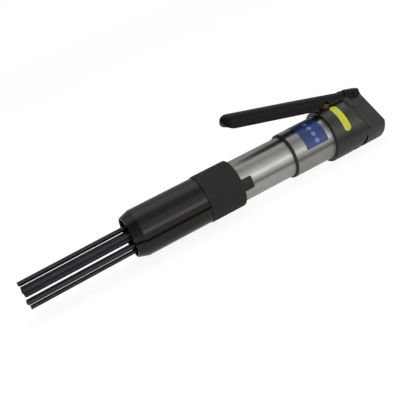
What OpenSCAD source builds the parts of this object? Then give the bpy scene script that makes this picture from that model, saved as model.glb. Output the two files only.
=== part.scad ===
// In-line air needle scaler. X runs along the tool from the air inlet to the needle tips,
// Z points from the tool's axis to the lever, and the origin is the centre of the inlet's mouth.

/* [Needles] */
// Diameter of one needle
needle_d = 3; // [2:0.5:4]
// Length of one needle from its head's back face to its tip
needle_len = 180; // [150:5:200]
// Diameter of a needle's upset head
needle_head_d = 4.2; // [3.6:0.1:4.4]
// Length of a needle's head
needle_head_len = 3; // [2:0.5:4]
// Number of needles in the outer circle
outer_needles = 7; // [6:1:8]
// Number of needles in the inner circle
inner_needles = 4; // [3:1:4]
// Radius of the outer circle of needles
outer_ring_r = 9.1; // [8.9:0.1:9.3]
// Radius of the inner circle of needles
inner_ring_r = 4.6; // [4.4:0.1:4.7]
// Angle of the first outer needle from the Y axis
outer_phase = 34; // [0:1:51]
// Angle of the first inner needle from the Y axis
inner_phase = 13; // [0:1:90]
// Angle by which the loose needles droop in their holder
needle_droop = 0.7; // [0:0.05:0.8]

/* [Nose tube and lock collar] */
// Wall of the nose tube outside the barrel
nose_wall = 1.75; // [1.5:0.05:2.5]
// Distance from the inlet to the nose tube's mouth
nose_front_x = 211.4; // [203:0.2:222]
// Length of the taper at the mouth
nose_taper_len = 7.5; // [4:0.5:10]
// Width of the rim at the mouth
nose_rim_w = 0.9; // [0.6:0.1:1.6]
// Height of the lock collar above the nose tube
collar_step = 0.5; // [0.4:0.1:1.5]
// Length of the lock collar
collar_len = 28; // [24:0.5:32]
// Thickness of the collar's rear wall
collar_wall_len = 3.5; // [2:0.5:5]
// Length of the collar's tongue
tongue_len = 8; // [6:0.5:9]
// Width of the collar's tongue
tongue_w = 9; // [6:0.5:10]
// Way back of the collar when it frees the tube
collar_travel = 5; // [4:0.5:5.5]

/* [Barrel] */
// Wall of the barrel round the needle holder
barrel_wall = 2.67; // [2.3:0.01:3.2]
// Distance from the inlet to the barrel's front end
barrel_front_x = 149.4; // [147:0.2:154]
// Diameter of the piston bore
piston_d = 19; // [17:0.5:20]
// Length of the piston
piston_len = 26; // [20:1:28]
// Free travel of the piston
piston_travel = 10; // [8:1:11]
// Wall of the silver exhaust sleeve
sleeve_wall = 1.75; // [1.2:0.05:2.2]
// Distance from the inlet to the sleeve's front end
sleeve_front_x = 78.9; // [75:0.1:82]
// Width of the black ring in front of the sleeve
ring_w = 1.5; // [1:0.5:3]

/* [Anvil and needle holder] */
// Diameter of the anvil's front disc
anvil_d = 25; // [24:0.5:25.4]
// Thickness of the anvil's front disc
anvil_disc_len = 6; // [4:0.5:8]
// Diameter of the anvil's shank
anvil_shank_d = 13; // [10:0.5:14]
// Forward travel of the anvil
anvil_travel = 1.5; // [0.5:0.5:3]
// Way that a needle can slip back from its seat
needle_back = 1.6; // [1.6:0.1:2.5]
// Thickness of the needle holder
holder_len = 8; // [6:0.5:10]
// Forward travel of the needle holder
holder_travel = 4; // [2:0.5:5]
// Wire diameter of the holder's return spring
spring_wire_d = 1.6; // [1.2:0.1:1.6]
// Number of turns of the holder's return spring
spring_turns = 8; // [6:1:10]

/* [Housing] */
// Outer diameter of the housing
housing_d = 40.8; // [39:0.2:44]
// Distance from the inlet to the housing's front face
housing_front_x = 45.4; // [44:0.2:49]
// Distance of the rear flats from the axis
flat_dist = 10.5; // [9.9:0.1:12]
// Distance from the inlet to the front end of the rear flats' ramps
flat_front_x = 24.2; // [22.4:0.2:25.4]
// Width of the lug between the lever's cheeks
lug_w = 7; // [5:0.5:8]
// Width of an exhaust slot
slot_w = 4; // [3:0.5:4.5]
// Wall thickness outside the exhaust chamber
slot_wall = 3.5; // [2.5:0.25:4]

/* [Air inlet and throttle valve] */
// Bore across the crests of the inlet thread, G 1/4
inlet_bore_d = 11.445; // [8.6:0.005:12]
// Depth of the inlet thread
inlet_depth = 12; // [10:0.5:13]
// Diameter of the inlet bushing's flange
inlet_flange_d = 17.2; // [16.8:0.2:19]
// Distance from the inlet to the throttle stem
stem_x = 34.9; // [34.4:0.1:35.4]
// Diameter of the throttle stem
stem_d = 4; // [3:0.25:4]
// Outer diameter of the brass throttle bush
bush_d = 9; // [8.5:0.25:9.5]
// Height of the bush's top above the axis
bush_top_z = 23.8; // [22.5:0.1:24]

/* [Lever] */
// Angle of the released lever to the tool's axis
lever_angle = 13.8; // [12:0.2:15]
// Angle by which the lever is pressed
lever_travel = 4.4; // [3:0.1:4.4]
// Length from the pivot to the lever's free end
lever_len = 110.5; // [90:0.5:125]
// Width of the lever's grip
lever_w = 16; // [14:0.5:20]
// Thickness of the lever's sheet
lever_t = 1.5; // [1:0.1:1.8]
// Distance from the inlet to the lever's pivot
pivot_x = 9.9; // [9.6:0.1:10.4]
// Height of the lever's pivot above the axis
pivot_z = 21; // [20.5:0.25:21.5]
// Diameter of the lever's roll pin
pin_d = 3; // [2.5:0.25:3.5]

/* [Hidden] */
$fn = 96;
// Radial clearance of pieces that are fitted and stay
seat_gap = 0.03;
// Radial clearance of pieces that slide or turn
run_gap = 0.06;
// Gap between end faces that stop against each other
stop_gap = 0.1;

// From the outer circle of needles to the holder, and out to the barrel and what is on it
spigot_r = outer_ring_r + needle_d / 2 + 0.6;
spring_r = spigot_r + 0.15 + spring_wire_d / 2;
holder_r = spring_r + spring_wire_d / 2 + 0.05;
chamber_r = holder_r + run_gap + 0.02;
barrel_r = chamber_r + barrel_wall;
sleeve_r = barrel_r + sleeve_wall;
nose_r = barrel_r + nose_wall;
nose_bore_r = holder_r + 1.3;
collar_r = nose_r + collar_step;
housing_r = housing_d / 2;

// Inlet bushing: flange let into the housing, two notches for a face spanner, screwed body
inlet_flange_r = inlet_flange_d / 2;
inlet_flange_len = 1.6;
inlet_proud = 0.6;
notch_w = 2.6;
notch_depth = 0.9;
inlet_wall = 1.9;
inlet_body_r = inlet_bore_d / 2 + inlet_wall;
inlet_seat_len = 1.4;
inlet_end_len = 2.6;
inlet_end_x = inlet_depth + inlet_seat_len + inlet_end_len;
screen_r = 4.9;
screen_len = 1.1;
screen_hole_r = 0.55;
inlet_seal_len = 1;
inlet_seal_w = 0.7;
housing_rear_x = inlet_proud;

// Barrel seat in the housing, valve chest and piston chain along the axis
barrel_seat_depth = 4.5;
barrel_rear_x = housing_front_x - barrel_seat_depth;
chest_r = 12;
cover_len = 6.4;
chest_len = 6;
plate_r = 6;
plate_len = 1;
plate_travel = 0.4;
chest_front_x = barrel_rear_x + stop_gap + cover_len + chest_len;
piston_r = piston_d / 2;
piston_x = chest_front_x + 0.5;
anvil_tail_x = piston_x + piston_len + piston_travel + 2 * stop_gap;
anvil_shank_len = 11.6;
anvil_tail_len = 1.6;
chamber_x = anvil_tail_x + anvil_shank_len - stop_gap;
anvil_front_x = anvil_tail_x + anvil_shank_len + anvil_disc_len;
head_x = anvil_front_x + anvil_travel + needle_back + 2 * stop_gap;
holder_x = head_x + needle_head_len;

// Exhaust ring space under the sleeve, and its ports
recess_r = barrel_r - 1.55;
recess_x = housing_front_x + 4;
recess_end_x = sleeve_front_x - 3.5;
port_r = 1.2;
port_x = recess_end_x - 4;
duct_r = 0.9;
duct_ring_r = (chest_r + barrel_r) / 2;
duct_angles = [-60, -90, -120];

// Nose tube on the barrel, and the collar that keeps it from unscrewing
tube_skirt_r = nose_r - 0.6;
tube_step_x = barrel_front_x + 0.3;
collar_front_x = tube_step_x + 3.3;
collar_rear_x = collar_front_x - collar_len;
tube_rear_x = collar_rear_x + collar_wall_len + 0.3;
dog_len = 3.2;
dog_angle = 20;
dog_count = 4;
key_w = 5;
key_h = 0.6;
key_x = collar_rear_x - 2;
keyway_x = key_x - collar_travel - 3 * stop_gap;
tongue_x = collar_rear_x - tongue_len;
tongue_r = barrel_r + 1.15;
tongue_r0 = 0.7;

// Holder spring, its seat and the snap ring in the nose tube
spring_len = 33;
spring_x = holder_x + holder_len;
spring_end_x = spring_x + spring_len;
seat_len = 2;
seat_in_r = spring_r - spring_wire_d / 2 + 0.25;
snap_len = 1.2;
snap_depth = 0.6;
snap_w = 1.5;
snap_a0 = -70;
snap_a1 = 250;
spigot_len = 1.6;
coil_steps = 20;

// Throttle valve: bush, stem, seat washer and return spring in one upright bore
valve_bore_z = -12;
bush_r = bush_d / 2;
bush_low_z = 1.5;
bush_chamber_r = 3.2;
bush_chamber_z = 9;
stem_r = stem_d / 2;
washer_r = 3.7;
washer_len = 1.4;
stem_head_len = 2;
stem_spigot_r = 1.6;
stem_spigot_len = 2.2;
oring_z = 14.5;
oring_wire_r = 0.45;
vspring_wire_d = 0.8;
vspring_r = 2.6;
vspring_turns = 6;
feed_z = -3;
feed_r = 2;
out_z = 5;

// Lever: u runs along it from the pin, v stands on its web
web_v = 2.1;
web_u = 8;
cheek_v = 2.5;
cheek_rear_u = 4.15;
cheek_r = 4.3;
cheek_gap = 0.45;
cheek_half = lug_w / 2 + cheek_gap + lever_t;
grip_half = lever_w / 2;
bend_r = 5;
taper_u0 = 16;
taper_u1 = 46;
grip_depth = 10;
flange_z = housing_r + 1.8;
flange_rise = 0.4;
notch_r = 2.4;
notch_x = stem_x + 1.1;
tip_round_u = 8;
tip_round_v = 6.5;
pin_r = pin_d / 2;
pin_end = 0.4;
lug_v = 3.2;
lug_rear_u = -4.8;
lug_front_u = 4.2;
ridge_w = 5;
ridge_z = housing_r + 0.6;

// Stem's dome touches the web: its centre follows from the lever's slope
dome_z = pivot_z + (web_v - lever_t - stem_r - stop_gap + (stem_x - pivot_x) * sin(lever_angle)) / cos(lever_angle);
dome_end_z = pivot_z + (web_v - lever_t - stem_r - stop_gap
    + (stem_x - pivot_x) * sin(lever_angle - lever_travel)) / cos(lever_angle - lever_travel);
stem_stroke = dome_z - dome_end_z;

// Exhaust slots: middle along X, first and last angle from the Y axis
muffler_in_r = 13;
muffler_x0 = 14.4;
muffler_x1 = 29.8;
muffler_a0 = -22;
muffler_a1 = -158;
muffler_r = housing_r - slot_wall;
slots = [[19.1, -31, -72], [19.1, -108, -149], [26.8, -58, -122]];

// Labels: yellow pill on the housing, blue sheet round the upper half of the sleeve
yellow_x = 33.3;
yellow_w = 5.6;
yellow_a0 = 12;
yellow_a1 = 64.5;
blue_rear = 4.4;
blue_front = 10.2;
blue_edge = 5.5;

// Play of each loose needle at its seat, outer circle first, then inner circle and middle
needle_play = [0.45, 0.15, 0.6, 1.3, 0.7, 1, 0.1, 1.6, 0.6, 0.9, 0.3, 0.8, 0.5];
head_gap = 0.05;
hole_gap = 0.25;

// Body turned about the X axis from points [x, r]
module turned(points) {
    rotate([90, 0, 90])
        rotate_extrude()
            polygon([for (p = points) [p[1], p[0]]]);
}

// Ring along X between two radii
module ring_x(x0, x1, r0, r1) {
    turned([[x0, r0], [x0, r1], [x1, r1], [x1, r0]]);
}

// Part of a ring along X between two angles, counted from Y towards Z
module sector_x(x0, x1, r0, r1, a0, a1) {
    rotate([min(a0, a1), 0, 0])
        rotate([90, 0, 90])
            rotate_extrude(angle = abs(a1 - a0))
                polygon([[r0, x0], [r1, x0], [r1, x1], [r0, x1]]);
}

// Cylinder along X with its rear end at x
module rod_x(x, len, r) {
    translate([x, 0, 0])
        rotate([0, 90, 0])
            cylinder(h = len, r = r);
}

// Cylinder that stands out from the X axis at an angle counted from Y towards Z
module radial(x, a, r, r0, r1) {
    rotate([a, 0, 0])
        translate([x, r0, 0])
            rotate([-90, 0, 0])
                cylinder(h = r1 - r0, r = r);
}

// Ring space of half-round section for an O-ring about the X axis
module oring_x(x, ring_r, wire_r) {
    rotate([90, 0, 90])
        rotate_extrude()
            translate([ring_r, x])
                circle(r = wire_r, $fn = 32);
}

// Slot along the wall with round ends, from one angle to another
module slot_cut(x, a0, a1, w, r0, r1) {
    sector_x(x - w / 2, x + w / 2, r0, r1, a0, a1);
    radial(x, a0, w / 2 + 0.02, r0 + 0.6, r1);
    radial(x, a1, w / 2 + 0.02, r0 + 0.6, r1);
}

// One tube along a coil about the X axis, with straight tangential ends left out
function coil_ring(p, q, r, wire) =
    let(d = [q[0] - p[0], q[1] - p[1], q[2] - p[2]],
        l = norm(d),
        t = d / l,
        o = [0, p[1], p[2]] / r,
        b = cross(t, o))
    [for (k = [0:5]) p + wire / 2 * (cos(60 * k + 30) * o + sin(60 * k + 30) * b / norm(b))];

// Rise of a coil whose first and last turn lie nearly flat
function coil_x(s, turns, len, wire) =
    let(flat = wire * 1.6, rest = len - wire - 2 * flat)
    s < 1 ? wire / 2 + flat * s
    : s > turns - 1 ? len - wire / 2 - flat * (turns - s)
    : wire / 2 + flat + rest * (s - 1) / (turns - 2);

function coil_point(s, turns, len, r, wire) =
    [coil_x(s, turns, len, wire), r * cos(360 * s), r * sin(360 * s)];

// Coil spring along X from 0 to len
module coil(turns, len, r, wire) {
    steps = turns * coil_steps;
    rings = [for (i = [0:steps])
        let(s = i / coil_steps)
        coil_ring(coil_point(s, turns, len, r, wire), coil_point(s + 0.001, turns, len, r, wire), r, wire)];
    points = [for (g = rings) for (p = g) p];
    sides = [for (i = [0:steps - 1]) for (k = [0:5])
        let(a = i * 6 + k, b = i * 6 + (k + 1) % 6)
        each [[a, b, b + 6], [a, b + 6, a + 6]]];
    first = [for (k = [1:4]) [0, k + 1, k]];
    last = [for (k = [1:4]) [steps * 6, steps * 6 + k, steps * 6 + k + 1]];
    polyhedron(points = points, faces = concat(sides, first, last));
}

// Least space between neighbouring turns of a coil
function coil_gap(turns, len, wire) =
    min([for (i = [0:(turns - 1) * 8])
        coil_x(i / 8 + 1, turns, len, wire) - coil_x(i / 8, turns, len, wire)]) - wire;

echo(needle_spring_gap = coil_gap(spring_turns, spring_end_x - spring_x, spring_wire_d));
echo(throttle_spring_gap = coil_gap(vspring_turns, bush_low_z - washer_len - stem_head_len
    - valve_bore_z - stop_gap, vspring_wire_d));
echo(stem_stroke = stem_stroke, stroke_per_radian = stem_stroke / (lever_travel * PI / 180));

// Rear flats: the wall is scooped at 45 degrees on both sides of the top
module flat_cut(side) {
    ramp_angle = 41.4;
    ramp_x = flat_front_x - (housing_r - flat_dist) / tan(ramp_angle);
    fillet_r = 5;
    fillet_x = ramp_x - fillet_r * tan(ramp_angle / 2);
    top = housing_r + 5;
    rotate([side > 0 ? 0 : 90, 0, 0])
        rotate([45, 0, 0])
            translate([0, 0, -25])
                linear_extrude(height = 50)
                    polygon(concat(
                        [[-1, top], [-1, flat_dist]],
                        [for (a = [0:ramp_angle / 8:ramp_angle])
                            [fillet_x + fillet_r * sin(a), flat_dist + fillet_r * (1 - cos(a))]],
                        [[flat_front_x + 5 / tan(ramp_angle), top]]));
}

// World point [x, z] of a point along and across the lever at rest
function from_lever(u, v) =
    [pivot_x + u * cos(lever_angle) - v * sin(lever_angle),
        pivot_z + u * sin(lever_angle) + v * cos(lever_angle)];

// Lug that carries the lever's pin, and the ridge from it to the throttle bush
module lug() {
    rotate([90, 0, 0]) {
        linear_extrude(height = lug_w, center = true)
            polygon([[housing_rear_x, 6], [housing_rear_x, 11.2], [pivot_x - 6.3, pivot_z - 3.8],
                from_lever(lug_rear_u, lug_v - 0.3), from_lever(lug_rear_u + 0.3, lug_v),
                from_lever(lug_front_u, lug_v), [pivot_x + 5.6, ridge_z],
                [pivot_x + 11, housing_r - 1], [pivot_x + 11, 6]]);
        linear_extrude(height = ridge_w, center = true)
            polygon([[pivot_x, 6], [pivot_x, pivot_z - 3], [pivot_x + 4, ridge_z], [stem_x, ridge_z],
                [stem_x, 6]]);
    }
}

module housing() {
    color([0.24, 0.24, 0.235])
        difference() {
            union() {
                difference() {
                    turned([[housing_rear_x, 0], [housing_rear_x, housing_r - 0.9],
                        [housing_rear_x + 0.27, housing_r - 0.27], [housing_rear_x + 0.9, housing_r],
                        [housing_front_x - 0.4, housing_r], [housing_front_x, housing_r - 0.4],
                        [housing_front_x, 0]]);
                    flat_cut(1);
                    flat_cut(-1);
                }
                lug();
            }
            // Bore of the inlet bushing, its sunk flange and the ring under it
            rod_x(housing_rear_x - 1, inlet_end_x - housing_rear_x + 1, inlet_body_r + seat_gap);
            rod_x(housing_rear_x - 1, inlet_flange_len - housing_rear_x + 1, inlet_flange_r + seat_gap);
            rod_x(housing_rear_x, inlet_flange_len + inlet_seal_len - housing_rear_x,
                inlet_body_r + inlet_seal_w + seat_gap);
            // Upright bore of the throttle valve
            translate([stem_x, 0, valve_bore_z])
                cylinder(h = housing_r - valve_bore_z + 5, r = bush_r + seat_gap);
            // Air way from the inlet to the valve, and on to the barrel
            translate([inlet_end_x - 1, 0, feed_z])
                rotate([0, 90, 0])
                    cylinder(h = stem_x - inlet_end_x + 1, r = feed_r);
            translate([stem_x, 0, out_z])
                rotate([0, 90, 0])
                    cylinder(h = barrel_rear_x - stem_x + 1, r = feed_r);
            // Seat of the barrel
            rod_x(barrel_rear_x, barrel_seat_depth + 1, barrel_r + seat_gap);
            // Exhaust space, its slots and the ducts that feed it
            sector_x(muffler_x0, muffler_x1, muffler_in_r, muffler_r, muffler_a0, muffler_a1);
            for (s = slots)
                slot_cut(s[0], s[1], s[2], slot_w, muffler_r - 1, housing_r + 1);
            for (a = duct_angles)
                rotate([a, 0, 0])
                    translate([muffler_x1 - 0.5, duct_ring_r, 0])
                        rotate([0, 90, 0])
                            cylinder(h = barrel_rear_x - muffler_x1 + 1, r = duct_r);
            // Hole of the lever's pin
            translate([pivot_x, 0, pivot_z])
                rotate([90, 0, 0])
                    cylinder(h = lug_w + 2, r = pin_r + seat_gap, center = true);
        }
}

module inlet_bushing() {
    color([0.72, 0.71, 0.68])
        difference() {
            union() {
                turned([[0, 0], [0, inlet_flange_r - 0.3], [0.3, inlet_flange_r],
                    [inlet_flange_len, inlet_flange_r], [inlet_flange_len, 0]]);
                rod_x(0, inlet_end_x, inlet_body_r);
            }
            for (a = [0, 180])
                rotate([a, 0, 0])
                    translate([-1, -notch_w / 2, inlet_bore_d / 2 + 0.9])
                        cube([notch_depth + 1, notch_w, inlet_flange_r]);
            rod_x(-1, inlet_depth + 1, inlet_bore_d / 2);
            rod_x(inlet_depth - 0.5, inlet_seat_len + 0.5, screen_r + seat_gap);
            rod_x(inlet_depth, inlet_end_len + inlet_seat_len + 1, screen_r - 0.8);
        }
}

module inlet_seal() {
    color([0.08, 0.08, 0.08])
        ring_x(inlet_flange_len, inlet_flange_len + inlet_seal_len, inlet_body_r + seat_gap,
            inlet_body_r + inlet_seal_w);
}

module inlet_screen() {
    color([0.7, 0.7, 0.68])
        difference() {
            rod_x(inlet_depth + 0.1, screen_len, screen_r);
            for (ring = [[0, 1], [1.7, 6], [3.4, 12]])
                for (k = [0:ring[1] - 1])
                    rotate([k * 360 / ring[1], 0, 0])
                        translate([inlet_depth - 1, ring[0], 0])
                            rotate([0, 90, 0])
                                cylinder(h = 4, r = screen_hole_r, $fn = 24);
        }
}

module throttle_bush() {
    color([0.75, 0.6, 0.3])
        translate([stem_x, 0, 0])
            difference() {
                rotate_extrude()
                    polygon([[stem_r + run_gap, bush_chamber_z], [bush_chamber_r, bush_chamber_z],
                        [bush_chamber_r, bush_low_z], [bush_r, bush_low_z], [bush_r, bush_top_z - 0.8],
                        [bush_r - 0.8, bush_top_z], [stem_r + run_gap, bush_top_z]]);
                translate([0, 0, out_z])
                    rotate([0, 90, 0])
                        cylinder(h = bush_d + 2, r = 1.6, center = true);
            }
}

module throttle_stem() {
    washer_z = bush_low_z - run_gap - washer_len;
    color([0.78, 0.63, 0.33])
        translate([stem_x, 0, 0])
            difference() {
                union() {
                    translate([0, 0, dome_z])
                        sphere(r = stem_r, $fn = 48);
                    translate([0, 0, washer_z])
                        cylinder(h = dome_z - washer_z, r = stem_r);
                    translate([0, 0, washer_z - stem_head_len])
                        cylinder(h = stem_head_len, r = washer_r);
                    translate([0, 0, washer_z - stem_head_len - stem_spigot_len])
                        cylinder(h = stem_spigot_len, r = stem_spigot_r);
                }
                translate([0, 0, oring_z - oring_wire_r - seat_gap])
                    difference() {
                        cylinder(h = 2 * (oring_wire_r + seat_gap), r = stem_r + 1);
                        translate([0, 0, -1])
                            cylinder(h = 4, r = stem_r - 2 * oring_wire_r - seat_gap);
                    }
            }
}

module throttle_washer() {
    color([0.1, 0.1, 0.1])
        translate([stem_x, 0, bush_low_z - run_gap - washer_len])
            difference() {
                cylinder(h = washer_len, r = washer_r);
                translate([0, 0, -1])
                    cylinder(h = washer_len + 2, r = stem_r + seat_gap);
            }
}

module stem_seal() {
    color([0.1, 0.1, 0.1])
        translate([stem_x, 0, oring_z])
            rotate_extrude()
                translate([stem_r - oring_wire_r, 0])
                    circle(r = oring_wire_r, $fn = 24);
}

module throttle_spring() {
    top_z = bush_low_z - run_gap - washer_len - stem_head_len;
    color([0.6, 0.6, 0.6])
        translate([stem_x, 0, valve_bore_z + 0.02])
            rotate([0, -90, 0])
                coil(vspring_turns, top_z - valve_bore_z - 0.07, vspring_r, vspring_wire_d);
}

// World point [x, z] given along and across the lever
function on_lever(x, z) =
    [(x - pivot_x) * cos(lever_angle) + (z - pivot_z) * sin(lever_angle),
        (z - pivot_z) * cos(lever_angle) - (x - pivot_x) * sin(lever_angle)];

// Points round a bend of radius r, centred at c, from angle a0 to a1
function bend_points(c, r, a0, a1) =
    [for (k = [0:8]) let(a = a0 + (a1 - a0) * k / 8) c + r * [cos(a), sin(a)]];

// Outline of a folded channel, half-width b, top at v, bends of radius r
module bent_outline(b, v, r) {
    polygon(concat([[b, -20]], bend_points([b - r, v - r], r, 0, 90),
        bend_points([r - b, v - r], r, 90, 180), [[-b, -20]]));
}

// Half-width of the lever at u: narrow at the cheeks, tapered, then the grip
function lever_half(u) =
    u <= taper_u0 ? cheek_half
    : u >= taper_u1 ? grip_half
    : cheek_half + (grip_half - cheek_half) * (u - taper_u0) / (taper_u1 - taper_u0);

// Space inside the skin from u0 to u1, with skin 0 outside and skin 1 inside the sheet
module channel_skin(u0, u1, skin) {
    hull()
        for (u = [u0, u1 - 0.001])
            translate([u, 0, 0])
                rotate([90, 0, 90])
                    linear_extrude(height = 0.001)
                        bent_outline(lever_half(u == u0 ? u0 : u1) - skin * lever_t,
                            web_v - skin * lever_t, bend_r - skin * lever_t);
}

module channel_section(b) {
    difference() {
        bent_outline(b, web_v, bend_r);
        bent_outline(b - lever_t, web_v - lever_t, bend_r - lever_t);
    }
}

// Channel of one width from u0 to u1
module channel(u0, u1, b) {
    translate([u0, 0, 0])
        rotate([90, 0, 90])
            linear_extrude(height = u1 - u0)
                channel_section(b);
}

// Side view of the lever: lobe round the pin, level flange over the housing, deep grip, round tip
module lever_side() {
    low_v = web_v - grip_depth;
    level_start = on_lever(pivot_x + 8, flange_z);
    level_end_u = (flange_z + flange_rise - pivot_z - low_v * cos(lever_angle)) / sin(lever_angle);
    lobe = on_lever(pivot_x + 3.6, pivot_z - 2.3);
    rotate([90, 0, 0]) {
        cylinder(h = 40, r = cheek_r, center = true);
        linear_extrude(height = 40, center = true)
            polygon(concat([[-cheek_rear_u, 0], [-cheek_rear_u, cheek_v - 0.4],
                [-cheek_rear_u + 0.4, cheek_v], [web_u - 5, cheek_v], [web_u, web_v],
                [lever_len + 1, web_v], [lever_len + 1, low_v + tip_round_v]],
                [for (a = [90:-9:0]) [lever_len + tip_round_u * (sin(a) - 1),
                    low_v + tip_round_v * (1 - cos(a))]],
                [[level_end_u, low_v], level_start, lobe, [0, -2]]));
    }
}

module lever() {
    notch = on_lever(notch_x, flange_z + 0.7);
    color([0.2, 0.2, 0.205])
        translate([pivot_x, 0, pivot_z])
            rotate([0, -lever_angle, 0])
                difference() {
                    intersection() {
                        union() {
                            for (k = [-1, 1])
                                translate([-cheek_r - 1, k * (cheek_half - lever_t / 2) - lever_t / 2, -20])
                                    cube([cheek_r + 1.5 + web_u, lever_t, 30]);
                            channel(web_u, taper_u0, cheek_half);
                            difference() {
                                channel_skin(taper_u0, taper_u1, 0);
                                channel_skin(taper_u0, taper_u1, 1);
                            }
                            channel(taper_u1, lever_len - grip_half, grip_half);
                            translate([lever_len - grip_half, 0, 0])
                                rotate([0, 0, -90])
                                    rotate_extrude(angle = 180)
                                        intersection() {
                                            channel_section(grip_half);
                                            translate([0, -30])
                                                square([40, 60]);
                                        }
                        }
                        lever_side();
                    }
                    rotate([90, 0, 0])
                        cylinder(h = 40, r = pin_r + run_gap, center = true);
                    translate([notch[0], 0, notch[1]])
                        rotate([90, 0, 0])
                            cylinder(h = 40, r = notch_r, center = true);
                }
}

module lever_pin() {
    color([0.3, 0.3, 0.3])
        translate([pivot_x, 0, pivot_z])
            rotate([90, 0, 0])
                difference() {
                    cylinder(h = 2 * (cheek_half + pin_end), r = pin_r, center = true);
                    cylinder(h = 40, r = pin_r / 2, center = true);
                }
}

module exhaust_muffler() {
    color([0.5, 0.5, 0.48])
        sector_x(muffler_x0 + seat_gap, muffler_x1 - 0.6, muffler_in_r + seat_gap, muffler_r - seat_gap,
            muffler_a0 - 0.5, muffler_a1 + 0.5);
}

// Label that lies on a round wall, as a pill between two angles
module yellow_label() {
    color([0.84, 0.88, 0.2])
        intersection() {
            ring_x(yellow_x - yellow_w, yellow_x + yellow_w, housing_r + 0.01, housing_r + 0.16);
            slot_cut(yellow_x, yellow_a0, yellow_a1, yellow_w, housing_r - 2, housing_r + 2);
        }
}

module blue_label() {
    color([0.17, 0.26, 0.55])
        sector_x(housing_front_x + blue_rear, sleeve_front_x - blue_front, sleeve_r + 0.01, sleeve_r + 0.15,
            blue_edge, 180 - blue_edge);
}

module sleeve() {
    color([0.68, 0.67, 0.64])
        turned([[housing_front_x, barrel_r + seat_gap], [housing_front_x, sleeve_r],
            [sleeve_front_x - 0.3, sleeve_r], [sleeve_front_x, sleeve_r - 0.3],
            [sleeve_front_x, barrel_r + seat_gap]]);
}

module front_ring() {
    color([0.08, 0.08, 0.08])
        turned([[sleeve_front_x, barrel_r + seat_gap], [sleeve_front_x, sleeve_r - 0.45],
            [sleeve_front_x + 0.3, sleeve_r - 0.2], [sleeve_front_x + ring_w - 0.3, sleeve_r - 0.2],
            [sleeve_front_x + ring_w, sleeve_r - 0.5], [sleeve_front_x + ring_w, barrel_r + seat_gap]]);
}

module barrel() {
    color([0.72, 0.71, 0.68])
        difference() {
            turned([[barrel_rear_x, chest_r], [barrel_rear_x, barrel_r - 0.3],
                [barrel_rear_x + 0.3, barrel_r], [barrel_rear_x + 1.4, barrel_r],
                [barrel_rear_x + 1.4, barrel_r - 0.9], [barrel_rear_x + 2.7, barrel_r - 0.9],
                [barrel_rear_x + 2.7, barrel_r], [recess_x, barrel_r], [recess_x, recess_r],
                [recess_end_x, recess_r], [recess_end_x, barrel_r], [barrel_front_x - 0.5, barrel_r],
                [barrel_front_x, barrel_r - 0.5], [barrel_front_x, chamber_r],
                [chamber_x, chamber_r], [chamber_x, piston_r], [chest_front_x, piston_r],
                [chest_front_x, chest_r]]);
            // Exhaust ports into the ring space, and the ducts behind it
            for (k = [0:5])
                radial(port_x, 60 * k, port_r, piston_r - 1, barrel_r);
            for (a = duct_angles)
                rotate([a, 0, 0])
                    translate([barrel_rear_x - 1, duct_ring_r, 0])
                        rotate([0, 90, 0])
                            cylinder(h = recess_x - barrel_rear_x + 2, r = duct_r);
            // Keyway of the lock collar
            translate([keyway_x, barrel_r - key_h - stop_gap, -key_w / 2 - stop_gap])
                cube([collar_rear_x + 4 - keyway_x, 3, key_w + 2 * stop_gap]);
        }
}

module barrel_seal() {
    color([0.08, 0.08, 0.08])
        oring_x(barrel_rear_x + 2.05, barrel_r - 0.44, 0.44);
}

module valve_cover() {
    color([0.6, 0.6, 0.58])
        difference() {
            rod_x(barrel_rear_x + stop_gap, cover_len, chest_r - seat_gap);
            for (k = [0:3])
                rotate([90 + 90 * k, 0, 0])
                    translate([barrel_rear_x - 1, out_z, 0])
                        rotate([0, 90, 0])
                            cylinder(h = cover_len + 2, r = 1.2, $fn = 32);
        }
}

module valve_plate() {
    color([0.5, 0.5, 0.5])
        rod_x(barrel_rear_x + stop_gap + cover_len + plate_travel + stop_gap, plate_len, plate_r);
}

module valve_chest() {
    x = barrel_rear_x + stop_gap + cover_len;
    depth = plate_len + 2 * plate_travel + 2 * stop_gap;
    color([0.62, 0.62, 0.6])
        difference() {
            rod_x(x, chest_len, chest_r - seat_gap);
            rod_x(x - 1, depth + 1, plate_r + 0.3);
            rod_x(x, chest_len + 1, 3);
        }
}

module piston() {
    color([0.66, 0.66, 0.66])
        turned([[piston_x, 0], [piston_x, piston_r - run_gap - 0.8], [piston_x + 0.8, piston_r - run_gap],
            [piston_x + piston_len - 1.5, piston_r - run_gap], [piston_x + piston_len, piston_r - 2],
            [piston_x + piston_len, 0]]);
}

module anvil_bush() {
    color([0.6, 0.48, 0.25])
        ring_x(anvil_tail_x + anvil_tail_len, chamber_x, anvil_shank_d / 2 + run_gap, piston_r - seat_gap);
}

module anvil() {
    x = anvil_tail_x;
    disc_x = anvil_tail_x + anvil_shank_len;
    color([0.5, 0.5, 0.5])
        turned([[x, 0], [x, anvil_shank_d / 2 - 0.5], [x + 0.5, anvil_shank_d / 2],
            [disc_x, anvil_shank_d / 2], [disc_x, anvil_d / 2], [anvil_front_x - 0.5, anvil_d / 2],
            [anvil_front_x, anvil_d / 2 - 0.5], [anvil_front_x, 0]]);
}

// Place of needle i in the holder: [radius, angle]
function needle_place(i) =
    i < outer_needles ? [outer_ring_r, outer_phase + 360 * i / outer_needles]
    : i < outer_needles + inner_needles ? [inner_ring_r, inner_phase + 360 * (i - outer_needles) / inner_needles]
    : [0, 0];

needle_count = outer_needles + inner_needles + 1;

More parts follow.
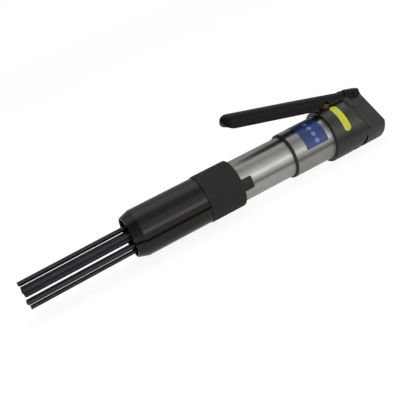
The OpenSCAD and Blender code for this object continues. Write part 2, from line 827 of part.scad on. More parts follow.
module needle_holder() {
    color([0.35, 0.35, 0.35])
        difference() {
            turned([[holder_x, 0], [holder_x, holder_r - 0.5], [holder_x + 0.5, holder_r],
                [spring_x, holder_r], [spring_x, spigot_r], [spring_x + spigot_len, spigot_r - 0.2],
                [spring_x + spigot_len, 0]]);
            for (i = [0:needle_count - 1])
                rotate([needle_place(i)[1], 0, 0])
                    translate([holder_x - 1, needle_place(i)[0], 0])
                        rotate([0, 90, 0])
                            cylinder(h = holder_len + spigot_len + 2, r = needle_d / 2 + hole_gap);
        }
}

// One needle: upset head behind the holder, loose in its hole, drooping a little
module needle(i) {
    place = needle_place(i);
    mid = holder_x + holder_len / 2;
    x = head_x - mid - head_gap - needle_play[i];
    color([0.2, 0.2, 0.23])
        if (i < needle_count)
            translate([mid, place[0] * cos(place[1]), place[0] * sin(place[1])])
                rotate([0, needle_droop, 0])
                    turned([[x, 0], [x, needle_head_d / 2 - 0.3], [x + 0.3, needle_head_d / 2],
                        [x + needle_head_len, needle_head_d / 2], [x + needle_head_len, needle_d / 2],
                        [x + needle_len - 0.25, needle_d / 2], [x + needle_len, needle_d / 2 - 0.25],
                        [x + needle_len, 0]]);
}

module needle_spring() {
    color([0.55, 0.55, 0.56])
        translate([spring_x + 0.02, 0, 0])
            coil(spring_turns, spring_end_x - spring_x - 0.04, spring_r, spring_wire_d);
}

module spring_seat() {
    color([0.45, 0.45, 0.45])
        ring_x(spring_end_x, spring_end_x + seat_len, seat_in_r, nose_bore_r - seat_gap);
}

module snap_ring() {
    x = spring_end_x + seat_len;
    color([0.3, 0.3, 0.3])
        sector_x(x, x + snap_len, nose_bore_r + snap_depth - seat_gap - snap_w,
            nose_bore_r + snap_depth - seat_gap, snap_a0, snap_a1);
}

module lock_collar() {
    bore_r = barrel_r + run_gap;
    shell_r = tube_skirt_r + run_gap;
    wall_x = collar_rear_x + collar_wall_len;
    color([0.2, 0.2, 0.2]) {
        turned([[collar_rear_x, bore_r], [collar_rear_x, collar_r - 0.4], [collar_rear_x + 0.4, collar_r],
            [collar_front_x - 0.4, collar_r], [collar_front_x, collar_r - 0.4],
            [collar_front_x, shell_r], [wall_x, shell_r], [wall_x, bore_r]]);
        // Dogs that hold the tube, and the key in the barrel
        for (k = [0:dog_count - 1])
            sector_x(wall_x - 0.5, wall_x + 0.3 + dog_len, barrel_r + 0.2, shell_r + 0.2,
                45 + 360 / dog_count * k - dog_angle / 2, 45 + 360 / dog_count * k + dog_angle / 2);
        translate([key_x, barrel_r - key_h, -key_w / 2])
            cube([wall_x - key_x, key_h + 0.6, key_w]);
        // Tongue on the barrel
        intersection() {
            ring_x(tongue_x - 1, collar_rear_x + 1, bore_r, tongue_r);
            rotate([-90, 0, 0])
                linear_extrude(height = 30)
                    union() {
                        translate([tongue_x + tongue_r0, -tongue_w / 2])
                            square([tongue_len - tongue_r0 + 1, tongue_w]);
                        translate([tongue_x, -tongue_w / 2 + tongue_r0])
                            square([tongue_len, tongue_w - 2 * tongue_r0]);
                        for (s = [-1, 1])
                            translate([tongue_x + tongue_r0, s * (tongue_w / 2 - tongue_r0)])
                                circle(r = tongue_r0, $fn = 32);
                    }
        }
    }
}

module nose_tube() {
    bore_r = nose_bore_r;
    groove_x = spring_end_x + seat_len;
    color([0.12, 0.12, 0.13])
        difference() {
            turned([[tube_rear_x, barrel_r + seat_gap], [tube_rear_x, tube_skirt_r - 0.2],
                [tube_rear_x + 0.2, tube_skirt_r], [collar_front_x + 0.15, tube_skirt_r],
                [collar_front_x + 0.15, nose_r - 0.25], [collar_front_x + 0.4, nose_r],
                [nose_front_x - nose_taper_len, nose_r], [nose_front_x, nose_bore_r + nose_rim_w],
                [nose_front_x, bore_r + 0.2], [nose_front_x - 0.2, bore_r],
                [groove_x + snap_len + seat_gap, bore_r],
                [groove_x + snap_len + seat_gap, bore_r + snap_depth],
                [groove_x - seat_gap, bore_r + snap_depth], [groove_x - seat_gap, bore_r],
                [tube_step_x, bore_r], [tube_step_x, barrel_r + seat_gap]]);
            for (k = [0:dog_count - 1])
                sector_x(tube_rear_x - 1, tube_rear_x + dog_len + 0.3, barrel_r - 1, tube_skirt_r + 1,
                    45 + 360 / dog_count * k - dog_angle / 2 - 1, 45 + 360 / dog_count * k + dog_angle / 2 + 1);
        }
}

housing();
inlet_bushing();
inlet_seal();
inlet_screen();
throttle_bush();
throttle_stem();
throttle_washer();
stem_seal();
throttle_spring();
lever();
lever_pin();
exhaust_muffler();
yellow_label();
blue_label();
sleeve();
front_ring();
barrel();
barrel_seal();
valve_cover();
valve_plate();
valve_chest();
piston();
anvil_bush();
anvil();
needle_holder();
needle(0);  // needle_01
needle(1);  // needle_02
needle(2);  // needle_03
needle(3);  // needle_04
needle(4);  // needle_05
needle(5);  // needle_06
needle(6);  // needle_07
needle(7);  // needle_08
needle(8);  // needle_09
needle(9);  // needle_10
needle(10);  // needle_11
needle(11);  // needle_12
needle_spring();
spring_seat();
snap_ring();
lock_collar();
nose_tube();
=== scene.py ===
import math

import bpy
from mathutils import Matrix, Vector


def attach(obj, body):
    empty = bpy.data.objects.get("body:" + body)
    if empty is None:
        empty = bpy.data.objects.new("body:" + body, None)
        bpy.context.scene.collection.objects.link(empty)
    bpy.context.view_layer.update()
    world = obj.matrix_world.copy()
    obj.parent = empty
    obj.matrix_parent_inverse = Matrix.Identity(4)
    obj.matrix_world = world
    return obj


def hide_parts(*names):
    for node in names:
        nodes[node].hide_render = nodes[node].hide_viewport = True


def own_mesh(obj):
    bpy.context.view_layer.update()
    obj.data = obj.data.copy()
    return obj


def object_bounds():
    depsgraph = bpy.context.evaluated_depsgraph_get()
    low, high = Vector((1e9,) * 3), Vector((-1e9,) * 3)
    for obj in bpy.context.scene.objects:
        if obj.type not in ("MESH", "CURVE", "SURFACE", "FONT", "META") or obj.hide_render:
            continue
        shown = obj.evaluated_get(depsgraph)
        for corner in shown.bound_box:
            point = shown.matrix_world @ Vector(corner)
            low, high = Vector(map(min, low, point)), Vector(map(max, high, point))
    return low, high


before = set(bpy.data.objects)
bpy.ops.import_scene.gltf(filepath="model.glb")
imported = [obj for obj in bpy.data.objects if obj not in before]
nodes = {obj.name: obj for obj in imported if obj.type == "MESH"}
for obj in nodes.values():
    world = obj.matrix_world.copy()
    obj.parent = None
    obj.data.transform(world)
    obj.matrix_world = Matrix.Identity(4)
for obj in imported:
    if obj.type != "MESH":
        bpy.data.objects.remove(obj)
cad_box = [list(map(float, corner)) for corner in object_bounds()]
scene = bpy.context.scene


# Studio: a white ground that the tool lies on, and a white room round it.
# The camera sees both white. Reflections and soft light see them dimmer, as in a photo tent.
def add(tree, kind, inputs=None, out=0, **settings):
    """Adds a node with its settings, and links or sets its inputs."""
    made = tree.nodes.new(kind)
    for key, value in settings.items():
        setattr(made, key, value)
    for key, value in (inputs or {}).items():
        if isinstance(value, bpy.types.NodeSocket):
            tree.links.new(value, made.inputs[key])
        else:
            made.inputs[key].default_value = value
    return made.outputs[out]


def calc(tree, operation, *values):
    """Maths node on sockets or numbers."""
    return add(tree, "ShaderNodeMath", dict(enumerate(values)), operation=operation)


def srgb(code):
    """Linear colour of an sRGB hex value."""
    parts = [int(code[i : i + 2], 16) / 255 for i in (1, 3, 5)]
    linear = [c / 12.92 if c <= 0.04045 else ((c + 0.055) / 1.055) ** 2.4 for c in parts]
    return (*linear, 1.0)


def new_material(name):
    made = bpy.data.materials.new(name)
    made.use_nodes = True
    made.node_tree.nodes.clear()
    return made, made.node_tree


def output(tree, shader):
    end = tree.nodes.new("ShaderNodeOutputMaterial")
    tree.links.new(shader, end.inputs["Surface"])


def camera_sees(tree):
    """The light path's outputs, and a value that is 1 on camera rays, also through glass."""
    rays = tree.nodes.new("ShaderNodeLightPath").outputs
    return rays, calc(tree, "MAXIMUM", rays["Is Camera Ray"], rays["Is Transmission Ray"])


def flat_sheet(name, x_range, y_range, z, material):
    """Level rectangle of one face."""
    (x0, x1), (y0, y1) = x_range, y_range
    shape = bpy.data.meshes.new(name)
    shape.from_pydata([(x0, y0, z), (x1, y0, z), (x1, y1, z), (x0, y1, z)], [], [(0, 1, 2, 3)])
    shape.materials.append(material)
    sheet = bpy.data.objects.new(name, shape)
    scene.collection.objects.link(sheet)
    return sheet


WHITE = (1, 1, 1, 1)
GROUND_HALF = 25
GROUND_Z = cad_box[0][2] - 0.0002
CAMERA_LIFT, GLOSS_LIFT, GLOW = 0.78, 0.4, 1.15
paper, tree = new_material("white_paper_sweep")
rays, seen = camera_sees(tree)
seen = calc(tree, "MULTIPLY", seen, CAMERA_LIFT)
gloss = calc(tree, "MULTIPLY", rays["Is Glossy Ray"], GLOSS_LIFT)
lift = calc(tree, "MAXIMUM", seen, gloss)
matt = add(tree, "ShaderNodeBsdfDiffuse", {"Color": srgb("#f2f2f2")})
glow = add(tree, "ShaderNodeEmission", {"Color": WHITE, "Strength": GLOW})
output(tree, add(tree, "ShaderNodeMixShader", {0: lift, 1: matt, 2: glow}))
ground_reach = (-GROUND_HALF, GROUND_HALF)
ground = flat_sheet("studio_ground", ground_reach, ground_reach, GROUND_Z, paper)

# A dark card on the ground along the tool, which only gloss sees.
# It draws the dark line below the lamps' reflection on every round piece.
CARD_X, CARD_Y = (-0.25, 0.6), (0.036, 0.053)
CARD_Z = GROUND_Z + 0.0004
card_black, tree = new_material("black_card")
output(tree, add(tree, "ShaderNodeBsdfDiffuse", {"Color": srgb("#101010")}))
card = flat_sheet("studio_card", CARD_X, CARD_Y, CARD_Z, card_black)
card.visible_camera = card.visible_shadow = False
card.visible_diffuse = card.visible_transmission = False

# The room's brightness by height, in degrees from the camera's side over the top to the back,
# and along the tool, where it falls off past the nose.
ROOM_BANDS = [(0, 0.85), (20, 0.8), (36, 0.74), (50, 0.42), (60, 0.33)]
ROOM_BANDS += [(76, 0.44), (125, 0.44), (150, 0.3), (180, 0.3)]
NOSE_FALL = {"From Min": 0.08, "From Max": 0.34, "To Min": 1.45, "To Max": 0.4}
world = bpy.data.worlds.new("white_room")
world.use_nodes = True
tree = world.node_tree
tree.nodes.clear()
rays, seen = camera_sees(tree)
way = tree.nodes.new("ShaderNodeSeparateXYZ")
tree.links.new(add(tree, "ShaderNodeTexCoord", out="Generated"), way.inputs[0])
height = calc(tree, "ARCTAN2", way.outputs[2], way.outputs[1])
height = add(tree, "ShaderNodeMapRange", {"Value": height, "From Max": math.pi})
bands = tree.nodes.new("ShaderNodeValToRGB")
tree.links.new(height, bands.inputs[0])
stops = bands.color_ramp.elements
for number, (angle, level) in enumerate(ROOM_BANDS):
    point = stops[number] if number < 2 else stops.new(angle / 180)
    point.position = angle / 180
    point.color = (level, level, level, 1)
nose_end = add(tree, "ShaderNodeMapRange", {"Value": way.outputs[0], **NOSE_FALL})
room = add(tree, "ShaderNodeBackground", {"Color": bands.outputs[0], "Strength": nose_end})
white = add(tree, "ShaderNodeBackground", {"Color": WHITE, "Strength": 1.0})
both = add(tree, "ShaderNodeMixShader", {0: seen, 1: room, 2: white})
tree.links.new(both, tree.nodes.new("ShaderNodeOutputWorld").inputs["Surface"])
scene.world = world
scene.view_settings.view_transform = "Standard"


# Lamps: one long soft box by the camera and one above.
# They are what the turned barrel and the oiled black parts mirror as bands along their length.
def softbox(name, angle, distance, length, width, level, along=-0.35):
    """Area lamp at degrees round the tool from +Y to +Z, as bright as level times white."""
    lamp = bpy.data.lights.new(name, "AREA")
    lamp.shape = "RECTANGLE"
    lamp.size = length
    lamp.size_y = width
    lamp.energy = level * math.pi * length * width
    made = bpy.data.objects.new(name, lamp)
    turn = math.radians(angle)
    away = Vector((0, math.cos(turn), math.sin(turn)))
    across = Vector((0, -math.sin(turn), math.cos(turn)))
    facing = Matrix((Vector((-1, 0, 0)), across, away)).transposed().to_4x4()
    made.matrix_world = Matrix.Translation(away * distance + Vector((along, 0, 0))) @ facing
    scene.collection.objects.link(made)


softbox("soft_box_front", angle=5, distance=0.95, length=1.8, width=0.32, level=1.4)
softbox("soft_box_high", angle=100, distance=1.1, length=2.0, width=0.7, level=0.68)

# Camera: the photograph's place, turn and field of view.
# They come from a fit of the tool's round edges.
CAMERA_PLACE = Vector((0.277906, 0.420190, 0.136323))
CAMERA_FORWARD = Vector((-0.27114905, -0.91580798, -0.29626666))
CAMERA_RIGHT = Vector((-0.85368902, 0.37099269, -0.36548526))
CAMERA_LENS, SENSOR_WIDTH = 57.72, 36
camera_data = bpy.data.cameras.new("photo_camera")
camera_data.sensor_width = SENSOR_WIDTH
camera_data.lens = CAMERA_LENS
camera_data.clip_start = 0.01
camera_data.clip_end = 50
camera = bpy.data.objects.new("photo_camera", camera_data)
forward = CAMERA_FORWARD.normalized()
right = (CAMERA_RIGHT - forward * CAMERA_RIGHT.dot(forward)).normalized()
turn = Matrix((right, right.cross(forward), -forward)).transposed().to_4x4()
camera.matrix_world = Matrix.Translation(CAMERA_PLACE) @ turn
scene.collection.objects.link(camera)
scene.camera = camera


# Housing: glass-filled nylon moulding, satin black with the fine grain of a spark-eroded mould.
# Its rear flats are scooped for the grip, and the lug on top holds the lever's pin.
def dress(names, material):
    for name in names:
        slots = nodes[name].data.materials
        if len(slots):
            slots[0] = material
        else:
            slots.append(material)


def new_finish(name):
    """Material, its tree, and the place on the piece in metres."""
    made, tree = new_material(name)
    return made, tree, add(tree, "ShaderNodeTexCoord", out="Object")


def noise(tree, place, scale, detail, **more):
    """Cloudy pattern with this many cells to the metre."""
    inputs = {"Vector": place, "Scale": scale, "Detail": detail, **more}
    return add(tree, "ShaderNodeTexNoise", inputs)


def blend(tree, share, dark, pale):
    """Colour between two, each a hex value or a socket."""
    ends = [srgb(c) if isinstance(c, str) else c for c in (dark, pale)]
    inputs = {0: share, 6: ends[0], 7: ends[1]}
    return add(tree, "ShaderNodeMix", inputs, out=2, data_type="RGBA")


def span(tree, value, low=0.0, high=1.0, start=0.0, end=1.0):
    """Value from start to end, spread from low to high and kept within them."""
    inputs = {"Value": value, "From Min": start, "From Max": end, "To Min": low, "To Max": high}
    return add(tree, "ShaderNodeMapRange", inputs)


def bump(tree, height, strength, distance):
    inputs = {"Height": height, "Strength": strength, "Distance": distance}
    return add(tree, "ShaderNodeBump", inputs)


def surface(tree, tint, roughness, more):
    """Ends a material in one shader, with what else the finish sets on it."""
    inputs = {"Base Color": tint, "Roughness": roughness, **more}
    output(tree, add(tree, "ShaderNodeBsdfPrincipled", inputs))


nylon, tree, place = new_finish("moulded_nylon_black")
grain = noise(tree, place, 2600.0, 3.0, Roughness=0.6)
cloud = noise(tree, place, 90.0, 4.0)
tint = blend(tree, cloud, "#1f1f1a", "#292924")
shine = span(tree, cloud, 0.33, 0.43, start=0.3, end=0.7)
surface(tree, tint, shine, {"Normal": bump(tree, grain, 0.25, 0.0001), "IOR": 1.5})
dress(["housing"], nylon)

# Inlet bushing: zinc-plated steel with the pipe thread for the hose nipple, screwed into the
# housing on a rubber ring. The thread's crest is a wound ridge.
zinc, tree, place = new_finish("zinc_plated_steel")
smear = noise(tree, place, 220.0, 5.0, Roughness=0.65)
tint = blend(tree, smear, "#a9a59b", "#c9c6bd")
surface(tree, tint, span(tree, smear, 0.28, 0.5), {"Metallic": 1.0})
dress(["inlet_bushing"], zinc)


def node_group(name, **inputs):
    """Geometry node tree with a Geometry input and output, and named value inputs."""
    made = bpy.data.node_groups.new(name, "GeometryNodeTree")
    made.interface.new_socket("Geometry", in_out="INPUT", socket_type="NodeSocketGeometry")
    for label, kind in inputs.items():
        made.interface.new_socket(label, in_out="INPUT", socket_type="NodeSocket" + kind)
    made.interface.new_socket("Geometry", in_out="OUTPUT", socket_type="NodeSocketGeometry")
    return made, made.nodes.new("NodeGroupInput").outputs


def close_group(tree, geometry, material):
    real = add(tree, "GeometryNodeRealizeInstances", {0: geometry})
    painted = add(tree, "GeometryNodeSetMaterial", {"Geometry": real, "Material": material})
    tree.links.new(painted, tree.nodes.new("NodeGroupOutput").inputs[0])


def grow(name, tree, values, body):
    """Runs a geometry node tree once, and leaves a plain mesh that rides on a body."""
    maker = bpy.data.objects.new(name + "_maker", bpy.data.meshes.new(name + "_seed"))
    scene.collection.objects.link(maker)
    modifier = maker.modifiers.new(name, "NODES")
    modifier.node_group = tree
    for item in tree.interface.items_tree:
        if item.in_out == "INPUT" and item.name in values:
            modifier[item.identifier] = values[item.name]
    bpy.context.view_layer.update()
    evaluated = maker.evaluated_get(bpy.context.evaluated_depsgraph_get())
    shape = bpy.data.meshes.new_from_object(evaluated)
    shape.name = name
    bpy.data.objects.remove(maker)
    piece = bpy.data.objects.new(name, shape)
    scene.collection.objects.link(piece)
    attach(piece, body)


THREAD = {"Radius": 0.00583, "Length": 0.0106, "Pitch": 0.001337, "Ridge": 0.0004}
THREAD_START = 0.0006
tree, size = node_group("wound_ridge", Radius="Float", Length="Float", Pitch="Float", Ridge="Float")
turns = calc(tree, "DIVIDE", size["Length"], size["Pitch"])
coil = {"Start Radius": size["Radius"], "End Radius": size["Radius"], "Height": size["Length"]}
coil.update({"Resolution": 40, "Rotations": turns})
helix = add(tree, "GeometryNodeCurveSpiral", coil)
helix = add(tree, "GeometryNodeSetCurveNormal", {"Curve": helix})
section = {"Resolution": 4, "Radius": size["Ridge"]}
section = add(tree, "GeometryNodeCurvePrimitiveCircle", section)
ridge = {"Curve": helix, "Profile Curve": section, "Fill Caps": True}
ridge = add(tree, "GeometryNodeCurveToMesh", ridge)
along_tool = {"Rotation": (0.0, math.pi / 2, 0.0), "Translation": (THREAD_START, 0.0, 0.0)}
ridge = add(tree, "GeometryNodeTransform", {"Geometry": ridge, **along_tool})
close_group(tree, ridge, zinc)
grow("inlet_thread", tree, THREAD, "tool")

# Strainer: a disc of punched stainless sheet, loose in its seat behind the thread.
# The sheet keeps the faint lines of its rolling.
punched, tree, place = new_finish("punched_stainless_sheet")
rolled = {0: place, 1: (900.0, 900.0, 90.0)}
rolled = add(tree, "ShaderNodeVectorMath", rolled, operation="MULTIPLY")
rolled = noise(tree, rolled, 1.0, 3.0)
tint = blend(tree, rolled, "#85837e", "#aba9a3")
surface(tree, tint, span(tree, rolled, 0.3, 0.45), {"Metallic": 1.0})
dress(["inlet_screen"], punched)

# Rubber rings and washers: black nitrile, matt, with the bloom that oil leaves on it.
# They seal the inlet, the valve stem and the barrel, and one shows in front of the sleeve.
rubber, tree, place = new_finish("nitrile_rubber")
tint = blend(tree, noise(tree, place, 400.0, 2.0), "#0e0e0e", "#1b1b1a")
surface(tree, tint, 0.6, {"IOR": 1.52})
dress(["inlet_seal", "throttle_washer", "stem_seal", "barrel_seal", "front_ring"], rubber)

# Throttle valve: turned brass stem that the lever presses, in a bush screwed into the housing.
# The bush's brass is darker and rougher than the stem's. The anvil's guide bush is brass as well.
brass, tree, place = new_finish("turned_brass")
tint = blend(tree, noise(tree, place, 300.0, 4.0), "#7a5a26", "#a98240")
surface(tree, tint, 0.3, {"Metallic": 1.0})
dress(["throttle_stem", "anvil_bush"], brass)

bush_brass, tree, place = new_finish("darker_brass")
tint = blend(tree, noise(tree, place, 260.0, 5.0, Roughness=0.7), "#3a3020", "#6b562e")
surface(tree, tint, 0.45, {"Metallic": 1.0})
dress(["throttle_bush"], bush_brass)

# Springs and snap ring: cold-drawn spring wire, bright and a little oily.
# The coils sit loose on their seats, and the ring springs into a groove of the tube.
wire, tree, place = new_finish("drawn_spring_wire")
tint = blend(tree, noise(tree, place, 500.0, 2.0), "#77756f", "#9b9891")
surface(tree, tint, 0.32, {"Metallic": 1.0})
dress(["throttle_spring", "needle_spring", "snap_ring"], wire)


# Copies of the two coil springs stand for the solids.
def stand_in(node, name, body):
    """Copy of a solid's mesh in the frame's axes, shown in its place and on the same body."""
    shape = nodes[node].data.copy()
    shape.name = name
    shape.transform(nodes[node].matrix_world)
    piece = bpy.data.objects.new(name, shape)
    scene.collection.objects.link(piece)
    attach(piece, body)
    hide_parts(node)
    return piece


for spring, joint, axis, travel in (
    ("needle_spring", "holder_slide", Vector((1, 0, 0)), 0.004),
    ("throttle_spring", "throttle_slide", Vector((0, 0, -1)), 0.00202),
):
    piece = stand_in(spring, spring + "_coil", "tool")
    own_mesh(piece)


# Lever: folded steel channel with a smooth black powder coat, on a roll pin through the lug.
# In a copy of the solid the cheeks' round ends are pressed flat on top, level with the lug.
def crisp(shape, degrees):
    """Shades a mesh smooth up to an angle and sharp past it."""
    if "custom_normal" in shape.attributes:
        shape.attributes.remove(shape.attributes["custom_normal"])
    shape.set_sharp_from_angle(angle=math.radians(degrees))


powder, tree, place = new_finish("black_powder_coat")
peel = noise(tree, place, 900.0, 2.0)
tint = blend(tree, noise(tree, place, 60.0, 3.0), "#0b0b0b", "#121212")
surface(tree, tint, 0.48, {"Normal": bump(tree, peel, 0.12, 0.0001), "IOR": 1.24})
dress(["lever"], powder)

PIVOT, LEVER_ANGLE = Vector((0.0099, 0.0, 0.021)), math.radians(13.8)
CHEEK_TOP, CHEEK_REACH = 0.0029, 0.012
lengthwise = Vector((math.cos(LEVER_ANGLE), 0, math.sin(LEVER_ANGLE)))
upward = Vector((-math.sin(LEVER_ANGLE), 0, math.cos(LEVER_ANGLE)))
cheeks = stand_in("lever", "lever_cheeks", "lever").data
for vertex in cheeks.vertices:
    arm = vertex.co - PIVOT
    high = arm.dot(upward)
    if arm.dot(lengthwise) < CHEEK_REACH and high > CHEEK_TOP:
        vertex.co -= upward * (high - CHEEK_TOP)
crisp(cheeks, 30)

# Piston, anvil and the other hardened pieces: ground and oiled steel.
# They slide in the barrel and the tube, or are clamped between them.
ground_steel, tree, place = new_finish("hardened_ground_steel")
tint = blend(tree, noise(tree, place, 250.0, 3.0), "#4c4a47", "#66645f")
surface(tree, tint, 0.35, {"Metallic": 1.0})
valve = ["valve_cover", "valve_plate", "valve_chest"]
dress(valve + ["piston", "anvil", "needle_holder", "spring_seat"], ground_steel)

# Exhaust insert: pressed grey felt behind the slots, which quiets the spent air.
# A pad of the same felt fills each slot, below the housing's skin.
felt, tree, place = new_finish("pressed_grey_felt")
fibre = noise(tree, place, 1500.0, 4.0, Roughness=0.8)
tint = blend(tree, fibre, "#4a4945", "#6e6c66")
surface(tree, tint, 0.95, {"Normal": bump(tree, fibre, 0.8, 0.0003)})
dress(["exhaust_muffler"], felt)

RIM_POINTS, RIM_ROUNDS = 48, 12
PAD_WIDTH, PAD_INNER, PAD_OUTER = 0.0029, 0.0168, 0.0195
PADS = [(0.0191, -31, -72), (0.0191, -108, -149), (0.0268, -58, -122)]


def slot_pad(name, x, first, last):
    """Pill-shaped pad on a round wall: x along the tool, and the angles of its ends in degrees."""
    first, last = math.radians(first), math.radians(last)
    mid = (first + last) / 2
    rim = []
    for k in range(RIM_POINTS):
        way = 2 * math.pi * (k + 0.5) / RIM_POINTS
        middle = last if math.cos(way) < 0 else first
        turned = middle + PAD_WIDTH / 2 / PAD_OUTER * math.cos(way)
        rim.append((x + PAD_WIDTH / 2 * math.sin(way), turned))
    points = []
    for radius in (PAD_INNER, PAD_OUTER):
        for share in range(1, RIM_ROUNDS + 1):
            for along, turned in rim:
                at = x + (along - x) * share / RIM_ROUNDS
                angle = mid + (turned - mid) * share / RIM_ROUNDS
                points.append((at, radius * math.cos(angle), radius * math.sin(angle)))
        points.append((x, radius * math.cos(mid), radius * math.sin(mid)))
    faces = []
    layer = RIM_POINTS * RIM_ROUNDS + 1
    steps = [(k, (k + 1) % RIM_POINTS) for k in range(RIM_POINTS)]
    for level in (0, 1):
        base = level * layer
        for ring in range(RIM_ROUNDS - 1):
            for k, following in steps:
                a, b = base + ring * RIM_POINTS + k, base + ring * RIM_POINTS + following
                c, d = a + RIM_POINTS, b + RIM_POINTS
                faces.append((a, b, d, c) if level else (c, d, b, a))
        for k, following in steps:
            a, b, hub = base + k, base + following, base + layer - 1
            faces.append((b, a, hub) if level else (a, b, hub))
    for k, following in steps:
        a, b = RIM_POINTS * (RIM_ROUNDS - 1) + k, RIM_POINTS * (RIM_ROUNDS - 1) + following
        faces.append((a, b, b + layer, a + layer))
    shape = bpy.data.meshes.new(name)
    shape.from_pydata(points, [], faces)
    shape.materials.append(felt)
    piece = bpy.data.objects.new(name, shape)
    scene.collection.objects.link(piece)
    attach(piece, "tool")


for number, (x, first, last) in enumerate(PADS):
    slot_pad("exhaust_pad_%d" % (number + 1), x, first, last)

# Yellow label: bare fluorescent film in the form of a pill, glued round the housing.
# It is a little mottled where it took up oil.
film, tree, place = new_finish("yellow_label_film")
soak = span(tree, noise(tree, place, 350.0, 3.0), start=0.4, end=0.75)
surface(tree, blend(tree, soak, "#d3dc2c", "#b9c022"), 0.4, {"IOR": 1.5})
dress(["yellow_label"], film)

# Blue label: vinyl film glued round the upper half of the sleeve.
# It has a row of four paler round patches and is bare otherwise.
PATCHES, PATCH_X, PATCH_R, PATCH_EDGE = 4, 0.0587, 0.0019, 0.0002
PATCH_ANGLE, PATCH_STEP, SLEEVE_R = math.radians(17), math.radians(18.1), 0.0176
vinyl, tree, place = new_finish("blue_label_film")
xyz = tree.nodes.new("ShaderNodeSeparateXYZ")
tree.links.new(place, xyz.inputs[0])
turned = calc(tree, "ARCTAN2", xyz.outputs[2], xyz.outputs[1])
turned = calc(tree, "SUBTRACT", turned, PATCH_ANGLE)
turned = calc(tree, "DIVIDE", turned, PATCH_STEP)
patch = {"Value": calc(tree, "ROUND", turned), "Min": 0.0, "Max": PATCHES - 1.0}
patch = add(tree, "ShaderNodeClamp", patch)
round_way = calc(tree, "SUBTRACT", turned, patch)
round_way = calc(tree, "MULTIPLY", round_way, PATCH_STEP * SLEEVE_R)
along_way = calc(tree, "SUBTRACT", xyz.outputs[0], PATCH_X)
spot = add(tree, "ShaderNodeCombineXYZ", {0: along_way, 1: round_way})
spot = add(tree, "ShaderNodeVectorMath", {0: spot}, out="Value", operation="LENGTH")
spot = span(tree, spot, start=PATCH_R, end=PATCH_R - PATCH_EDGE)
tint = blend(tree, noise(tree, place, 150.0, 2.0), "#1d3068", "#263d7d")
surface(tree, blend(tree, spot, tint, "#6386c4"), 0.4, {"IOR": 1.5})
dress(["blue_label"], vinyl)


# Barrel and sleeve: turned steel with a satin plate. The sleeve's copy is darker, as painted shade
# from the housing beside it. The tool marks run round them and draw the lamps' reflections out
# along the tool.
def turning_marks(tree, along, scale, **more):
    """Rings round the tool, with this many to the metre."""
    inputs = {"W": along, "Scale": scale, "Detail": 2.0, **more}
    return add(tree, "ShaderNodeTexNoise", inputs, noise_dimensions="1D")


for name, dark, pale, piece in (
    ("turned_satin_steel", "#a6a49f", "#bbb9b4", "barrel"),
    # The sleeve's darker tints are painted shade from the housing beside it.
    ("turned_steel_painted_shade", "#9a9893", "#aeaca7", "sleeve"),
):
    turned_steel, tree, place = new_finish(name)
    xyz = tree.nodes.new("ShaderNodeSeparateXYZ")
    tree.links.new(place, xyz.inputs[0])
    rings = turning_marks(tree, xyz.outputs[0], 4500.0)
    coarse = turning_marks(tree, xyz.outputs[0], 2200.0, Roughness=0.6)
    wear = calc(tree, "ADD", noise(tree, place, 60.0, 4.0), coarse)
    tint = blend(tree, span(tree, wear, start=0.7, end=1.3), dark, pale)
    facing = add(tree, "ShaderNodeNewGeometry", out="Normal")
    crossed = {0: facing, 1: (1.0, 0.0, 0.0)}
    crossed = add(tree, "ShaderNodeVectorMath", crossed, operation="CROSS_PRODUCT")
    crossed = {0: crossed, 1: facing}
    crossed = add(tree, "ShaderNodeVectorMath", crossed, operation="CROSS_PRODUCT")
    relief = bump(tree, rings, 0.05, 0.0001)
    turning = {"Normal": relief, "Anisotropic": 0.8, "Tangent": crossed, "Metallic": 1.0}
    surface(tree, tint, span(tree, rings, 0.4, 0.48), turning)
    dress([piece], turned_steel)

# Nose tube and roll pin: steel with a deep black oxide, oiled, so that it mirrors in bands.
# The oxide runs from brownish to bluish in streaks along the tube.
oxide, tree, place = new_finish("oiled_black_oxide")
drawn = {0: place, 1: (8.0, 130.0, 130.0)}
drawn = add(tree, "ShaderNodeVectorMath", drawn, operation="MULTIPLY")
streak = span(tree, noise(tree, drawn, 1.0, 3.0), start=0.35, end=0.65)
tint = blend(tree, streak, "#141314", "#171612")
sheen = blend(tree, streak, "#efeefb", "#fff4e6")
shine = span(tree, noise(tree, place, 400.0, 3.0), 0.08, 0.2)
surface(tree, tint, shine, {"IOR": 1.4, "Specular Tint": sheen})
dress(["nose_tube", "lever_pin"], oxide)
crisp(stand_in("nose_tube", "nose_tube_shell", "tool").data, 12)

# Lock collar: steel, phosphated matt black, which slides on the tube.
# It has a fine diamond knurl for the fingers: rows of small pyramids, every other row shifted.
phosphate, tree, place = new_finish("knurled_phosphate_black")
grit = noise(tree, place, 1200.0, 2.0)
tint = blend(tree, grit, "#1a1814", "#26241f")
surface(tree, tint, 0.6, {"Normal": bump(tree, grit, 0.4, 0.0002), "IOR": 1.42})
dress(["lock_collar"], phosphate)

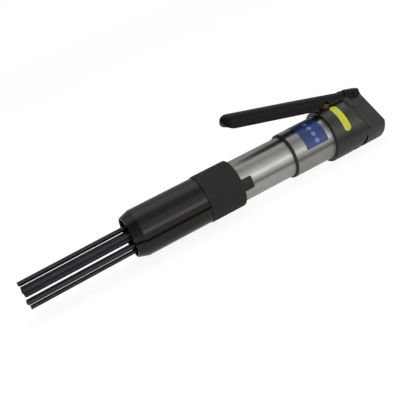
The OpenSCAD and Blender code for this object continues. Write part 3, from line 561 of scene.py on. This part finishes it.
KNURL = {"Radius": 0.01797, "Start": 0.1262, "Length": 0.0256}
KNURL.update({"Rows": 65, "Round": 141, "Height": 0.00015})
kinds = {"Radius": "Float", "Start": "Float", "Length": "Float"}
kinds.update({"Rows": "Int", "Round": "Int", "Height": "Float"})
tree, size = node_group("diamond_knurl", **kinds)
field = {"Size X": size["Length"], "Size Y": 1.0}
field.update({"Vertices X": size["Rows"], "Vertices Y": size["Round"]})
field = add(tree, "GeometryNodeMeshGrid", field)
index = add(tree, "GeometryNodeInputIndex")
row = calc(tree, "FLOOR", calc(tree, "DIVIDE", index, size["Round"]))
number = calc(tree, "MODULO", index, size["Round"])
stagger = calc(tree, "MULTIPLY", calc(tree, "MODULO", row, 2.0), 0.5)
angle = calc(tree, "DIVIDE", calc(tree, "ADD", number, stagger), size["Round"])
angle = calc(tree, "MULTIPLY", angle, 2 * math.pi)
step = calc(tree, "DIVIDE", size["Length"], calc(tree, "SUBTRACT", size["Rows"], 1.0))
across = calc(tree, "ADD", calc(tree, "MULTIPLY", row, step), size["Start"])
outward = {1: calc(tree, "COSINE", angle), 2: calc(tree, "SINE", angle)}
outward = add(tree, "ShaderNodeCombineXYZ", outward)
arm = {0: outward, "Scale": size["Radius"]}
arm = add(tree, "ShaderNodeVectorMath", arm, operation="SCALE")
spot = {0: arm, 1: add(tree, "ShaderNodeCombineXYZ", {0: across})}
spot = add(tree, "ShaderNodeVectorMath", spot, operation="ADD")
field = add(tree, "GeometryNodeSetPosition", {"Geometry": field, "Position": spot})
turn = add(tree, "FunctionNodeAlignRotationToVector", {"Vector": outward}, axis="Z")
turn = {"Rotation": turn, "Vector": (1.0, 0.0, 0.0)}
turn = add(tree, "FunctionNodeAlignRotationToVector", turn, axis="X", pivot_axis="Z")
tooth = {"Vertices": 4, "Radius Top": 0.0, "Radius Bottom": step, "Depth": size["Height"]}
tooth = add(tree, "GeometryNodeMeshCone", tooth, fill_type="NGON")
teeth = {"Points": field, "Instance": tooth, "Rotation": turn}
close_group(tree, add(tree, "GeometryNodeInstanceOnPoints", teeth), phosphate)
grow("collar_knurl", tree, KNURL, "collar")

# Needles: drawn spring steel, tempered to a blue-black skin.
# Each hangs by its head in its own hole of the holder and slides there.
tempered, tree, place = new_finish("tempered_needle_steel")
tint = blend(tree, noise(tree, place, 300.0, 4.0), "#28282c", "#3b3b42")
surface(tree, tint, 0.3, {"Metallic": 0.85})
dress(["needle_%02d" % (i + 1) for i in range(12)], tempered)
